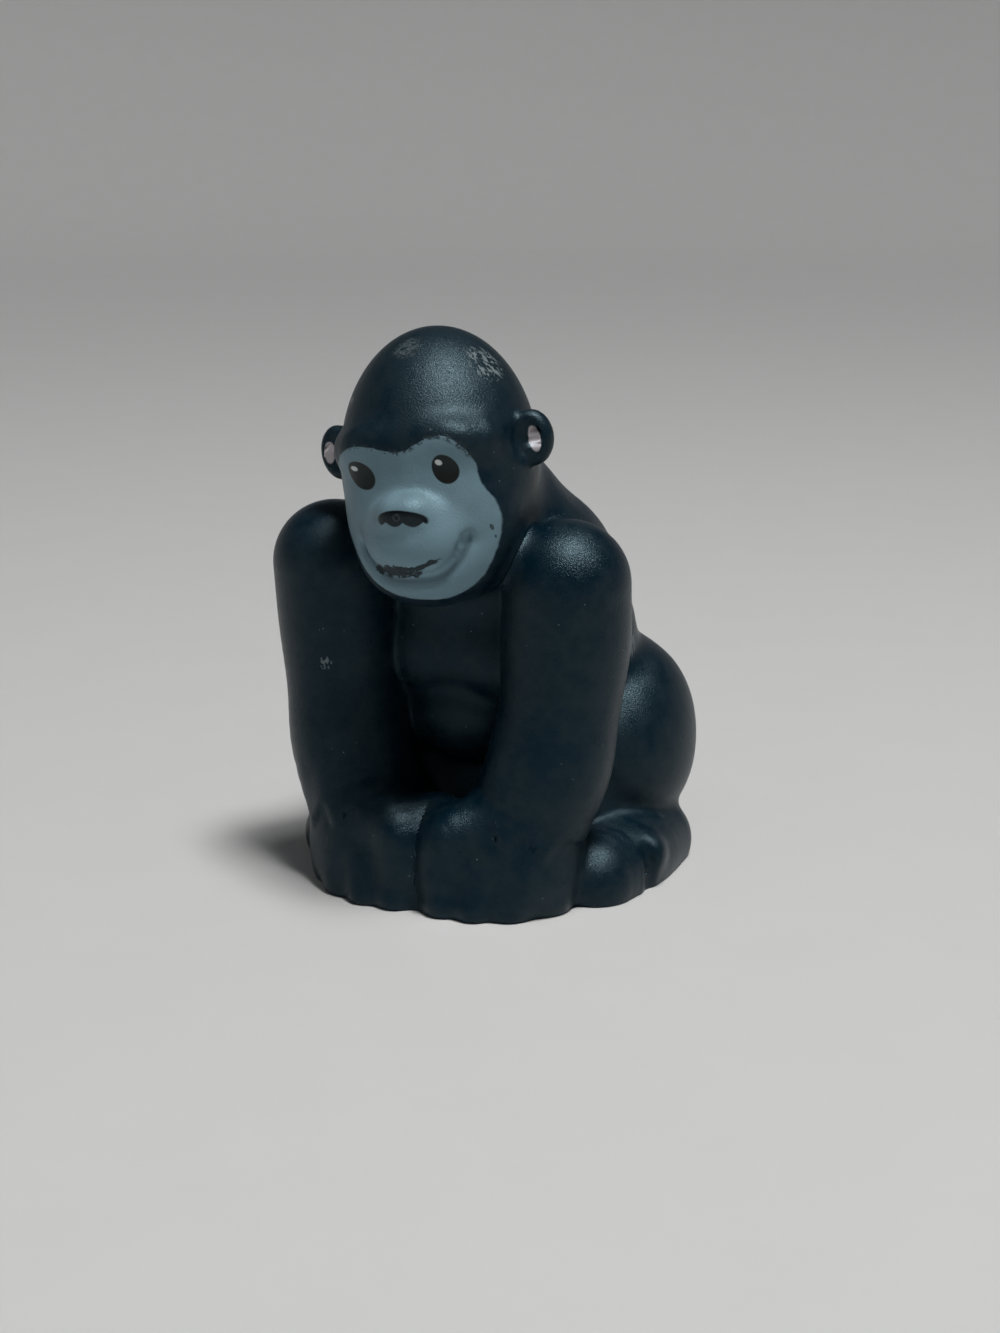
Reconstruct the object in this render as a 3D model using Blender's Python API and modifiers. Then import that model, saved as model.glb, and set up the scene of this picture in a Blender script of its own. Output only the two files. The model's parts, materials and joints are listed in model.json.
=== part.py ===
"""Seated gorilla figurine, moulded in one piece of soft foam and painted.

The body is built up as in clay: rounded masses of named sizes are set where the bones and
muscles lie, fused into one skin with a voxel remesh, and the skin is then settled onto the
smooth blend of the masses. The underside is cut flat. Front is -Y, up is +Z, and the
gorilla's left side is +X. Its left side is described; the right side mirrors it.
"""

import math

import bmesh
import bpy
import numpy as np
from mathutils import Euler, Matrix

# Trunk: full sizes, with centres measured forward of and above the middle of the base
CHEST_WIDTH = 0.0300
CHEST_DEPTH = 0.0210
CHEST_HEIGHT = 0.0300
CHEST_FORWARD = 0.0070
CHEST_LEVEL = 0.0460
PEC_WIDTH = 0.0150
PEC_DEPTH = 0.0126
PEC_HEIGHT = 0.0150
PEC_FORWARD = 0.0120
PEC_LEVEL = 0.0366
PEC_SPREAD = 0.0058
BELLY_WIDTH = 0.0230
BELLY_DEPTH = 0.0205
BELLY_HEIGHT = 0.0188
BELLY_FORWARD = 0.0068
BELLY_LEVEL = 0.0270
YOKE_WIDTH = 0.0415
YOKE_DEPTH = 0.0270
YOKE_HEIGHT = 0.0290
YOKE_FORWARD = 0.0030
YOKE_LEVEL = 0.0490
BACK_WIDTH = 0.0445
BACK_DEPTH = 0.0300
BACK_HEIGHT = 0.0400
BACK_BEHIND = 0.0035
BACK_LEVEL = 0.0370
BACK_LEAN = math.radians(20)
RUMP_WIDTH = 0.0440
RUMP_DEPTH = 0.0340
RUMP_HEIGHT = 0.0360
RUMP_BEHIND = 0.0140
RUMP_LEVEL = 0.0180
LAP_WIDTH = 0.0460
LAP_DEPTH = 0.0250
LAP_HEIGHT = 0.0240
LAP_FORWARD = 0.0015
LAP_LEVEL = 0.0090
BASE_WIDTH = 0.0500
BASE_DEPTH = 0.0480
BASE_HEIGHT = 0.0150

NECK_WIDTH = 0.0300
NECK_DEPTH = 0.0270
NECK_HEIGHT = 0.0260
NECK_FORWARD = 0.0095
NECK_LEVEL = 0.0570

# Arms: how far the column of the arm stands from the middle, and its thickness down it
SHOULDER_SPREAD = 0.0191
SHOULDER_FORWARD = 0.0174
SHOULDER_LEVEL = 0.0500
SHOULDER_THICKNESS = 0.0190
BICEP_SPREAD = 0.0187
BICEP_FORWARD = 0.0166
BICEP_LEVEL = 0.0410
BICEP_THICKNESS = 0.0194
ELBOW_SPREAD = 0.0180
ELBOW_FORWARD = 0.0170
ELBOW_LEVEL = 0.0310
ELBOW_THICKNESS = 0.0182
FOREARM_SPREAD = 0.0164
FOREARM_FORWARD = 0.0180
FOREARM_LEVEL = 0.0210
FOREARM_THICKNESS = 0.0190
WRIST_SPREAD = 0.0128
WRIST_FORWARD = 0.0193
WRIST_LEVEL = 0.0120
WRIST_THICKNESS = 0.0172

# Hands: the knuckles stand on the ground and the backs of the hands face forward
PALM_WIDTH = 0.0222
PALM_DEPTH = 0.0210
PALM_HEIGHT = 0.0230
PALM_SPREAD = 0.0112
PALM_FORWARD = 0.0196
PALM_LEVEL = 0.0060
FINGER_THICKNESS = 0.0062
FINGER_HEIGHT = 0.0060
FINGER_SPREADS = (0.0040, 0.0090, 0.0138, 0.0182)
FINGER_FORWARDS = (0.0290, 0.0288, 0.0268, 0.0216)
THUMB_ROOT_SPREAD = 0.0102
THUMB_ROOT_FORWARD = 0.0230
THUMB_ROOT_LEVEL = 0.0124
THUMB_ROOT_THICKNESS = 0.0094
THUMB_JOINT_SPREAD = 0.0044
THUMB_JOINT_FORWARD = 0.0270
THUMB_JOINT_LEVEL = 0.0114
THUMB_JOINT_THICKNESS = 0.0084
THUMB_TIP_SPREAD = 0.0030
THUMB_TIP_FORWARD = 0.0284
THUMB_TIP_LEVEL = 0.0066
THUMB_TIP_THICKNESS = 0.0058
CUFF_RELIEF = 0.0005
CUFF_EDGE = 0.0026
CUFF_FADE = 0.0090
CUFF_INNER_LEVEL = 0.0146
CUFF_OUTER_LEVEL = 0.0095
CUFF_INNER_SPREAD = 0.0084
CUFF_OUTER_SPREAD = 0.0260
TUFT_SPACING = 0.0052
TUFT_LENGTH = 0.0030
FIRST_TUFT_SPREAD = 0.0088
JOIN_WIDTH = 0.0200
JOIN_DEPTH = 0.0150
JOIN_HEIGHT = 0.0300
JOIN_FORWARD = 0.0225
JOIN_LEVEL = 0.0015

# Legs: the folded thigh lies beside the rump, the foot flat below it
THIGH_WIDTH = 0.0210
THIGH_DEPTH = 0.0270
THIGH_HEIGHT = 0.0290
THIGH_SPREAD = 0.0202
THIGH_BEHIND = 0.0085
THIGH_LEVEL = 0.0180
HIP_WIDTH = 0.0188
HIP_DEPTH = 0.0220
HIP_HEIGHT = 0.0210
HIP_SPREAD = 0.0165
HIP_BEHIND = 0.0120
HIP_LEVEL = 0.0240
HEEL_SPREAD = 0.0242
INSTEP_SPREAD = 0.0236
TOES_SPREAD = 0.0223
HEEL_BEHIND = 0.0068
HEEL_THICKNESS = 0.0144
INSTEP_FORWARD = 0.0030
INSTEP_THICKNESS = 0.0152
TOES_FORWARD = 0.0126
TOES_THICKNESS = 0.0134
FOOT_LEVEL = 0.0026
TOE_GROOVE_THICKNESS = 0.0016
ANKLE_SIZE = 0.0042
RIGHT_FOOT_BEHIND = 0.0030

# Head: sizes in the head's own frame, whose middle is between the ears
HEAD_FORWARD = 0.0200
HEAD_LEVEL = 0.0660
HEAD_TURN = math.radians(3)
HEAD_ROLL = math.radians(-7.5)
SKULL_WIDTH = 0.0292
SKULL_DEPTH = 0.0294
SKULL_HEIGHT = 0.0395
SKULL_RAISE = 0.0012
SKULL_BEHIND = 0.0005
SKULL_LEAN = math.radians(-14)
JAW_WIDTH = 0.0244
JAW_DEPTH = 0.0168
JAW_HEIGHT = 0.0216
JAW_FORWARD = 0.0055
JAW_DROP = 0.0076
MUZZLE_WIDTH = 0.0172
MUZZLE_DEPTH = 0.0158
MUZZLE_HEIGHT = 0.0143
MUZZLE_FORWARD = 0.0097
MUZZLE_DROP = 0.0077
NOSE_WIDTH = 0.0030
NOSE_DEPTH = 0.0046
NOSE_HEIGHT = 0.0040
NOSE_FORWARD = 0.0158
NOSE_DROP = 0.0035
NOSE_SWEEP = 0.0022
BROW_THICKNESS = 0.0046
BROW_SPREAD = 0.0062
BROW_FORWARD = 0.0115
BROW_RAISE = 0.0058
BROW_DIP = 0.0008
BROW_SWEEP = 0.0034
SOCKET_WIDTH = 0.0110
SOCKET_HEIGHT = 0.0090
SOCKET_DEPTH = 0.0012
EYE_SPREAD = 0.0066
EYE_RAISE = 0.0016
MOUTH_WIDTH = 0.0164
MOUTH_THICKNESS = 0.0021
MOUTH_CORNER_DROP = 0.0085
MOUTH_MIDDLE_DROP = 0.0137
CHIN_WIDTH = 0.0190
CHIN_DEPTH = 0.0130
CHIN_HEIGHT = 0.0122
CHIN_FORWARD = 0.0078
CHIN_DROP = 0.0119
EAR_WIDTH = 0.0062
EAR_HEIGHT = 0.0081
EAR_FORWARD = 0.0010
EAR_TURN = math.radians(18)
EAR_THICKNESS = 0.0044
EAR_RIM = 0.0012
EAR_SPREAD = 0.0153
EAR_RAISE = 0.0038
EAR_HOLLOW = 0.0030

# Skin: how softly one mass runs into the next, and the size of the mesh
BACK_BLEND = 0.0090
SOFT_BLEND = 0.0060
FIRM_BLEND = 0.0030
CREASE_BLEND = 0.0013
SKIN_GRAIN = 0.0008
SKIN_TRIANGLES = 12600
PAINT = (0.016, 0.024, 0.038)
PAINT_ROUGHNESS = 0.45


class Ball:
    """A rounded mass: an ellipsoid of three full sizes, turned about its centre."""

    def __init__(self, centre, size, turn=(0.0, 0.0, 0.0), reach=SOFT_BLEND, carve=False):
        self.centre = np.array(centre, float)
        self.radii = np.array(size, float) / 2
        self.turn = np.array(Euler(turn).to_matrix())
        self.reach = reach
        self.carve = carve

    def distance(self, points):
        local = (points - self.centre) @ self.turn
        near = np.linalg.norm(local / self.radii, axis=1)
        slope = np.linalg.norm(local / self.radii**2, axis=1)
        return near * (near - 1) / np.maximum(slope, 1e-6)

    def places(self):
        """The unit spheres that stand for this mass, as matrices."""
        turn = Matrix(self.turn.tolist()).to_4x4()
        return [Matrix.Translation(self.centre) @ turn @ Matrix.Diagonal((*self.radii, 1))]


class Limb:
    """A round limb through joints of given thickness, running smoothly from each to the next."""

    def __init__(self, joints, reach=FIRM_BLEND, carve=False):
        self.beads = smooth_run(joints)
        self.reach = reach
        self.carve = carve

    def distance(self, points):
        nearest = np.full(len(points), np.inf)
        for start, end in zip(self.beads[:-1], self.beads[1:]):
            along = end[:3] - start[:3]
            share = np.clip((points - start[:3]) @ along / (along @ along), 0, 1)
            radius = (start[3] + share * (end[3] - start[3])) / 2
            away = np.linalg.norm(points - start[:3] - share[:, None] * along, axis=1)
            nearest = np.minimum(nearest, away - radius)
        return nearest

    def places(self):
        return [
            Matrix.Translation(bead[:3]) @ Matrix.Scale(bead[3] / 2, 4) for bead in self.beads
        ]


def smooth_run(joints, steps=5):
    """Points and thicknesses along a smooth curve through the joints."""
    joints = np.array([(*spot, thickness) for spot, thickness in joints])
    if len(joints) == 2:
        return joints[0] + np.linspace(0, 1, steps)[:, None] * (joints[1] - joints[0])
    padded = np.vstack([2 * joints[0] - joints[1], joints, 2 * joints[-1] - joints[-2]])
    beads = []
    for before, start, end, after in zip(padded, padded[1:], padded[2:], padded[3:]):
        for share in np.arange(steps) / steps:
            beads.append(
                start
                + share * (end - before) / 2
                + share**2 * (before - 2.5 * start + 2 * end - after / 2)
                + share**3 * (1.5 * start - 1.5 * end + (after - before) / 2)
            )
    return np.array([*beads, joints[-1]])


def blend(first, second, reach):
    """Smooth union of two distances: the seam is filled over about `reach`."""
    share = np.clip(0.5 + 0.5 * (second - first) / reach, 0, 1)
    return second + (first - second) * share - reach * share * (1 - share)


def combined(masses, points):
    """Distance to the blend of several masses, in order; a carving mass is cut away."""
    result = masses[0].distance(points)
    for mass in masses[1:]:
        reach = mass.reach(points) if callable(mass.reach) else mass.reach
        if mass.carve:
            result = -blend(-result, mass.distance(points), reach)
        else:
            result = blend(mass.distance(points), result, reach)
    return result


def front_of(masses, across, level, deepest=0.0, nearest=-0.050, steps=400):
    """Where the blend of the masses first meets a line that runs back from the front."""
    line = np.linspace(nearest, deepest, steps)
    points = np.column_stack([np.full(steps, across), line, np.full(steps, level)])
    inside = combined(masses, points) < 0
    return line[np.argmax(inside)] if inside.any() else deepest


def creased_in_front(points):
    """The blend of arm and chest: a firm crease in front that grows soft over the back."""
    start = -SHOULDER_FORWARD
    share = np.clip((points[:, 1] - start) / (SHOULDER_THICKNESS * 0.7), 0, 1)
    return CREASE_BLEND + (BACK_BLEND - CREASE_BLEND) * share * share * (3 - 2 * share)


def trunk():
    return [
        Ball(
            (0, -CHEST_FORWARD, CHEST_LEVEL),
            (CHEST_WIDTH, CHEST_DEPTH, CHEST_HEIGHT),
        ),
        Ball(
            (0, -YOKE_FORWARD, YOKE_LEVEL),
            (YOKE_WIDTH, YOKE_DEPTH, YOKE_HEIGHT),
        ),
        Ball(
            (0, -NECK_FORWARD, NECK_LEVEL),
            (NECK_WIDTH, NECK_DEPTH, NECK_HEIGHT),
            reach=FIRM_BLEND,
        ),
        Ball(
            (0, BACK_BEHIND, BACK_LEVEL),
            (BACK_WIDTH, BACK_DEPTH, BACK_HEIGHT),
            (BACK_LEAN, 0, 0),
        ),
        Ball(
            (0, RUMP_BEHIND, RUMP_LEVEL),
            (RUMP_WIDTH, RUMP_DEPTH, RUMP_HEIGHT),
        ),
        Ball(
            (PEC_SPREAD, -PEC_FORWARD, PEC_LEVEL),
            (PEC_WIDTH, PEC_DEPTH, PEC_HEIGHT),
            reach=FIRM_BLEND,
        ),
        Ball(
            (-PEC_SPREAD, -PEC_FORWARD, PEC_LEVEL),
            (PEC_WIDTH, PEC_DEPTH, PEC_HEIGHT),
            reach=SOFT_BLEND,
        ),
        Ball(
            (0, -BELLY_FORWARD, BELLY_LEVEL),
            (BELLY_WIDTH, BELLY_DEPTH, BELLY_HEIGHT),
            reach=CREASE_BLEND * 1.5,
        ),
        Ball((0, -LAP_FORWARD, LAP_LEVEL), (LAP_WIDTH, LAP_DEPTH, LAP_HEIGHT), reach=FIRM_BLEND),
        Ball((0, 0, 0), (BASE_WIDTH, BASE_DEPTH, BASE_HEIGHT), reach=FIRM_BLEND),
    ]


def leg():
    """The left thigh, folded beside the rump."""
    return [
        Ball(
            (THIGH_SPREAD, THIGH_BEHIND, THIGH_LEVEL),
            (THIGH_WIDTH, THIGH_DEPTH, THIGH_HEIGHT),
            reach=FIRM_BLEND,
        ),
        Ball(
            (HIP_SPREAD, HIP_BEHIND, HIP_LEVEL),
            (HIP_WIDTH, HIP_DEPTH, HIP_HEIGHT),
        ),
    ]


def foot(side, behind):
    """A flat foot with a groove before its toes; side is 1 at the left and -1 at the right."""
    heel = (side * HEEL_SPREAD, HEEL_BEHIND + behind, FOOT_LEVEL)
    instep = (side * INSTEP_SPREAD, -INSTEP_FORWARD + behind, FOOT_LEVEL)
    toes = (side * TOES_SPREAD, -TOES_FORWARD + behind, FOOT_LEVEL)
    rim = INSTEP_SPREAD + INSTEP_THICKNESS / 2
    groove_behind = behind - INSTEP_FORWARD * 0.4 - TOES_FORWARD * 0.6
    groove = [
        (side * (rim - TOE_GROOVE_THICKNESS), groove_behind, FOOT_LEVEL + INSTEP_THICKNESS * 0.4),
        (side * (rim - TOE_GROOVE_THICKNESS / 2), groove_behind, 0),
    ]
    ankle = (
        side * (rim - ANKLE_SIZE * 0.5),
        behind - INSTEP_FORWARD * 2,
        FOOT_LEVEL + ANKLE_SIZE * 0.7,
    )
    joints = [(heel, HEEL_THICKNESS), (instep, INSTEP_THICKNESS), (toes, TOES_THICKNESS)]
    return [
        Limb(joints),
        Ball(ankle, (ANKLE_SIZE, ANKLE_SIZE, ANKLE_SIZE), reach=FIRM_BLEND),
        Limb([(spot, TOE_GROOVE_THICKNESS) for spot in groove], reach=CREASE_BLEND, carve=True),
    ]


def arm():
    """The left arm, one smooth column from the shoulder to the wrist."""
    joints = [
        ((SHOULDER_SPREAD, -SHOULDER_FORWARD, SHOULDER_LEVEL), SHOULDER_THICKNESS),
        ((BICEP_SPREAD, -BICEP_FORWARD, BICEP_LEVEL), BICEP_THICKNESS),
        ((ELBOW_SPREAD, -ELBOW_FORWARD, ELBOW_LEVEL), ELBOW_THICKNESS),
        ((FOREARM_SPREAD, -FOREARM_FORWARD, FOREARM_LEVEL), FOREARM_THICKNESS),
        ((WRIST_SPREAD, -WRIST_FORWARD, WRIST_LEVEL), WRIST_THICKNESS),
    ]
    return [Limb(joints, reach=creased_in_front)]


def hand():
    """The left hand, its knuckles on the ground and its thumb inside."""
    masses = [
        Ball(
            (PALM_SPREAD, -PALM_FORWARD, PALM_LEVEL),
            (PALM_WIDTH, PALM_DEPTH, PALM_HEIGHT),
            reach=FIRM_BLEND,
        ),
        Ball(
            (0, -JOIN_FORWARD, JOIN_LEVEL),
            (JOIN_WIDTH, JOIN_DEPTH, JOIN_HEIGHT),
            reach=CREASE_BLEND,
        ),
    ]
    for spread, forward in zip(FINGER_SPREADS, FINGER_FORWARDS):
        knuckle = (spread, -forward + FINGER_THICKNESS / 4, FINGER_HEIGHT)
        ground = (spread, -forward, FINGER_THICKNESS / 4)
        finger = [(knuckle, FINGER_THICKNESS), (ground, FINGER_THICKNESS)]
        masses.append(Limb(finger, reach=CREASE_BLEND * 1.5))
    thumb = [
        ((THUMB_ROOT_SPREAD, -THUMB_ROOT_FORWARD, THUMB_ROOT_LEVEL), THUMB_ROOT_THICKNESS),
        ((THUMB_JOINT_SPREAD, -THUMB_JOINT_FORWARD, THUMB_JOINT_LEVEL), THUMB_JOINT_THICKNESS),
        ((THUMB_TIP_SPREAD, -THUMB_TIP_FORWARD, THUMB_TIP_LEVEL), THUMB_TIP_THICKNESS),
    ]
    masses.append(Limb(thumb, reach=FIRM_BLEND))
    return masses


def cuff(points):
    """How far the forearm's fur stands proud of the hand: a cuff that ends in tufts."""
    across = np.abs(points[:, 0])
    share = (across - CUFF_INNER_SPREAD) / (CUFF_OUTER_SPREAD - CUFF_INNER_SPREAD)
    level = CUFF_INNER_LEVEL + share * (CUFF_OUTER_LEVEL - CUFF_INNER_LEVEL)
    swing = np.cos(2 * math.pi * (across - FIRST_TUFT_SPREAD) / TUFT_SPACING)
    above = points[:, 2] - level + TUFT_LENGTH / 2 * swing
    edge = np.clip(0.5 + above / CUFF_EDGE, 0, 1)
    fade = np.clip(1 - above / CUFF_FADE, 0, 1)
    inward = np.clip((across - CUFF_INNER_SPREAD) / CUFF_EDGE / 2, 0, 1)
    in_front = np.clip((-points[:, 1] - WRIST_FORWARD + WRIST_THICKNESS / 4) / CUFF_EDGE, 0, 1)
    return CUFF_RELIEF * edge * edge * (3 - 2 * edge) * fade * inward * in_front


def head():
    """The head in its own frame."""
    brow = [
        ((0, -BROW_FORWARD + BROW_DIP / 2, BROW_RAISE - BROW_DIP), BROW_THICKNESS),
        ((BROW_SPREAD, -BROW_FORWARD, BROW_RAISE), BROW_THICKNESS),
        ((BROW_SPREAD * 1.6, -BROW_FORWARD + BROW_SWEEP, BROW_RAISE - BROW_DIP), BROW_THICKNESS),
    ]
    nose = [
        ((0, -NOSE_FORWARD, -NOSE_DROP), NOSE_DEPTH),
        ((NOSE_WIDTH / 2, -NOSE_FORWARD + NOSE_SWEEP / 6, -NOSE_DROP), NOSE_DEPTH),
        ((NOSE_WIDTH, -NOSE_FORWARD + NOSE_SWEEP, -NOSE_DROP - NOSE_SWEEP / 3), NOSE_HEIGHT),
    ]
    face = [
        Ball(
            (0, SKULL_BEHIND, SKULL_RAISE),
            (SKULL_WIDTH, SKULL_DEPTH, SKULL_HEIGHT),
            (SKULL_LEAN, 0, 0),
        ),
        Limb(brow, reach=FIRM_BLEND),
        Ball(
            (EYE_SPREAD, -SKULL_DEPTH / 2, EYE_RAISE),
            (SOCKET_WIDTH, SOCKET_DEPTH, SOCKET_HEIGHT),
            reach=FIRM_BLEND,
            carve=True,
        ),
        Ball(
            (0, -JAW_FORWARD, -JAW_DROP),
            (JAW_WIDTH, JAW_DEPTH, JAW_HEIGHT),
            reach=FIRM_BLEND,
        ),
        Ball(
            (0, -CHIN_FORWARD, -CHIN_DROP),
            (CHIN_WIDTH, CHIN_DEPTH, CHIN_HEIGHT),
            reach=FIRM_BLEND,
        ),
        Ball(
            (0, -MUZZLE_FORWARD, -MUZZLE_DROP),
            (MUZZLE_WIDTH, MUZZLE_DEPTH, MUZZLE_HEIGHT),
            reach=CREASE_BLEND,
        ),
        Limb(nose, reach=CREASE_BLEND * 1.5),
    ]
    mouth = []
    for share in (1.0, 0.94, 0.8, 0.55, 0.28, 0.0):
        drop = MOUTH_MIDDLE_DROP - (MOUTH_MIDDLE_DROP - MOUTH_CORNER_DROP) * share**3.2
        across = MOUTH_WIDTH / 2 * share
        mouth.append(((across, front_of(face, across, -drop), -drop), MOUTH_THICKNESS))
    return face + [
        Limb(mouth, reach=CREASE_BLEND, carve=True),
        Ball(
            (EAR_SPREAD, -EAR_FORWARD, EAR_RAISE),
            (EAR_WIDTH, EAR_THICKNESS, EAR_HEIGHT),
            (0, 0, EAR_TURN),
            reach=CREASE_BLEND,
        ),
        Ball(
            (EAR_SPREAD, -EAR_FORWARD - EAR_THICKNESS / 2, EAR_RAISE),
            (EAR_WIDTH - EAR_RIM * 2, EAR_HOLLOW, EAR_HEIGHT - EAR_RIM * 2),
            (0, 0, EAR_TURN),
            reach=CREASE_BLEND,
            carve=True,
        ),
    ]


def head_frame():
    turn = Euler((0, HEAD_ROLL, HEAD_TURN)).to_matrix().to_4x4()
    return Matrix.Translation((0, -HEAD_FORWARD, HEAD_LEVEL)) @ turn


def figure():
    """The body's masses, which are mirrored, the two feet, and the head's in its own frame."""
    feet = [foot(1, 0), foot(-1, RIGHT_FOOT_BEHIND)]
    return trunk() + leg() + arm() + hand(), feet, head()


def mirrored(points):
    """Both sides of a symmetrical form, read on its left side."""
    return np.column_stack([np.abs(points[:, 0]), points[:, 1:]])


def skin_distance(points, body, feet, skull):
    into_head = np.array(head_frame().inverted())
    head_points = points @ into_head[:3, :3].T + into_head[:3, 3]
    of_head = combined(skull, mirrored(head_points))
    of_body = combined(body, mirrored(points)) - cuff(points)
    for one_foot in feet:
        of_body = blend(combined(one_foot, points), of_body, CREASE_BLEND * 1.5)
    return blend(of_head, of_body, FIRM_BLEND)


def settled(points, rounds=5, step=0.00004, most=0.0012):
    """The points moved onto the blended surface, along its own slope."""
    masses = figure()
    for _ in range(rounds):
        here = skin_distance(points, *masses)
        slope = np.empty_like(points)
        for axis in range(3):
            aside = points.copy()
            aside[:, axis] += step
            slope[:, axis] = (skin_distance(aside, *masses) - here) / step
        length = np.maximum((slope**2).sum(1), 0.3)
        points = points - np.clip(here / length, -most, most)[:, None] * slope
    return points


def clay():
    """One mesh of spheres that stand for all the masses, on both sides."""
    mesh = bmesh.new()
    body, feet, skull = figure()
    still = Matrix.Identity(4)
    across = Matrix.Diagonal((-1, 1, 1, 1))
    groups = [(still, body, True), (head_frame(), skull, True)]
    groups += [(still, one_foot, False) for one_foot in feet]
    for frame, masses, both_sides in groups:
        for place in [place for mass in masses if not mass.carve for place in mass.places()]:
            twice = both_sides and abs(place.translation.x) > 0.0001
            for side in [place, across @ place @ across] if twice else [place]:
                bmesh.ops.create_icosphere(mesh, subdivisions=3, radius=1, matrix=frame @ side)
    return mesh


def evaluated(obj):
    """The object's mesh as its modifiers leave it."""
    bpy.context.view_layer.update()
    graph = bpy.context.evaluated_depsgraph_get()
    return bpy.data.meshes.new_from_object(obj.evaluated_get(graph))


def remeshed(mesh, grain):
    obj = bpy.data.objects.new("clay", mesh)
    bpy.context.scene.collection.objects.link(obj)
    fuse = obj.modifiers.new("fuse", "REMESH")
    fuse.mode = "VOXEL"
    fuse.voxel_size = grain
    skin = evaluated(obj)
    bpy.data.objects.remove(obj)
    return skin


def thinned(mesh, triangles):
    obj = bpy.data.objects.new("skin", mesh)
    bpy.context.scene.collection.objects.link(obj)
    thin = obj.modifiers.new("thin", "DECIMATE")
    thin.ratio = triangles / (len(mesh.loops) - 2 * len(mesh.polygons))
    thin.use_collapse_triangulate = True
    skin = evaluated(obj)
    bpy.data.objects.remove(obj)
    return skin


def fused(grain):
    """The masses fused into one skin that lies on their blend."""
    mesh = bpy.data.meshes.new("clay")
    spheres = clay()
    spheres.to_mesh(mesh)
    spheres.free()
    skin = remeshed(mesh, grain)
    points = np.empty(len(skin.vertices) * 3, np.float32)
    skin.vertices.foreach_get("co", points)
    points = settled(points.reshape(-1, 3).astype(float))
    skin.vertices.foreach_set("co", points.astype(np.float32).ravel())
    skin.update()
    return skin


def cut_flat(mesh):
    """Cuts the skin off at the ground and closes it with a flat base."""
    work = bmesh.new()
    work.from_mesh(mesh)
    everything = work.verts[:] + work.edges[:] + work.faces[:]
    bmesh.ops.bisect_plane(
        work, geom=everything, dist=1e-7, plane_co=(0, 0, 0), plane_no=(0, 0, -1), clear_outer=True
    )
    rim = [edge for edge in work.edges if edge.is_boundary]
    bmesh.ops.triangle_fill(work, edges=rim, use_beauty=True, use_dissolve=False, normal=(0, 0, -1))
    bmesh.ops.recalc_face_normals(work, faces=work.faces[:])
    work.to_mesh(mesh)
    work.free()


def rested(mesh):
    """Puts the flat base on the ground, with the middle of its box above the origin."""
    points = np.empty(len(mesh.vertices) * 3, np.float32)
    mesh.vertices.foreach_get("co", points)
    points = points.reshape(-1, 3)
    points[:, 2][points[:, 2] < SKIN_GRAIN / 8] = 0
    middle = (points.min(0) + points.max(0)) / 2
    points[:, :2] -= middle[:2]
    mesh.vertices.foreach_set("co", points.ravel())
    mesh.update()


def paint():
    material = bpy.data.materials.new("painted_foam")
    material.use_nodes = True
    surface = material.node_tree.nodes["Principled BSDF"]
    surface.inputs["Base Color"].default_value = (*PAINT, 1)
    surface.inputs["Roughness"].default_value = PAINT_ROUGHNESS
    surface.inputs["Metallic"].default_value = 0
    material.diffuse_color = (*PAINT, 1)
    return material


def main():
    for obj in list(bpy.data.objects):
        bpy.data.objects.remove(obj)
    skin = fused(SKIN_GRAIN)
    cut_flat(skin)
    skin = thinned(skin, SKIN_TRIANGLES)
    rested(skin)
    skin.name = "gorilla_figurine"
    skin.shade_smooth()
    skin.materials.append(paint())
    figurine = bpy.data.objects.new("gorilla_figurine", skin)
    collection = bpy.data.collections.new("gorilla figurine")
    bpy.context.scene.collection.children.link(collection)
    collection.objects.link(figurine)


if __name__ == "__main__":
    main()
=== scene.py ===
"""Crouching gorilla figurine of painted soft foam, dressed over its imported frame.

The skin is built from the same rounded masses as the part's solid, with a finer grain, and is
painted with one material whose fields of colour follow the head's own frame.
"""

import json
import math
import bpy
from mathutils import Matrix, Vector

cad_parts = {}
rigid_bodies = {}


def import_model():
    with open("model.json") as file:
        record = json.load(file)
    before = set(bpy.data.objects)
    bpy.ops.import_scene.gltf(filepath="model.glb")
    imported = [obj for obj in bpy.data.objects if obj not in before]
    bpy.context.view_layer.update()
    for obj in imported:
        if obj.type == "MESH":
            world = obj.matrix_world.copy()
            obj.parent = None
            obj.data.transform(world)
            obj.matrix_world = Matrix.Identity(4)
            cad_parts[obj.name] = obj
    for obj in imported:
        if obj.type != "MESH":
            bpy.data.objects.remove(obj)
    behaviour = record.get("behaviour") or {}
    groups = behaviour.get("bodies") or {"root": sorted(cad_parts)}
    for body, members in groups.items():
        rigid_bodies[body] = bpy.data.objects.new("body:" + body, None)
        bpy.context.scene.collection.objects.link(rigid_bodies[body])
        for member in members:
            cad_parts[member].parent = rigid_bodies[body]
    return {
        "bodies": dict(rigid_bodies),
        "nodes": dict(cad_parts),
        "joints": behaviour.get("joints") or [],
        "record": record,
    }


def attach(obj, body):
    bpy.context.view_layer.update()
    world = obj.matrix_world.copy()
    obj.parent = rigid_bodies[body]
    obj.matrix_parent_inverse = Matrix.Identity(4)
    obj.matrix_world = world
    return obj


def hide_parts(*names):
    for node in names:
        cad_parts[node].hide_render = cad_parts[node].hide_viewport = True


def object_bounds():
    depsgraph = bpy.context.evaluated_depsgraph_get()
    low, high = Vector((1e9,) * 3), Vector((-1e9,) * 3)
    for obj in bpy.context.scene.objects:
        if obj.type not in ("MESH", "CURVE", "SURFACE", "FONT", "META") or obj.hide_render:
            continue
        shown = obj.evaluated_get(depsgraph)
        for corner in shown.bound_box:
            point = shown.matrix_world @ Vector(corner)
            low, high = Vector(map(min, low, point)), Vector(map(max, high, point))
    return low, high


bl_info = {
    "name": "Gorilla Figurine",
    "version": (1, 0, 0),
    "blender": (4, 5, 0),
    "location": "3D View > Sidebar > Figurine",
    "description": "Builds the painted foam gorilla with its worn paint, and a plain stage",
    "category": "Add Mesh",
}

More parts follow.
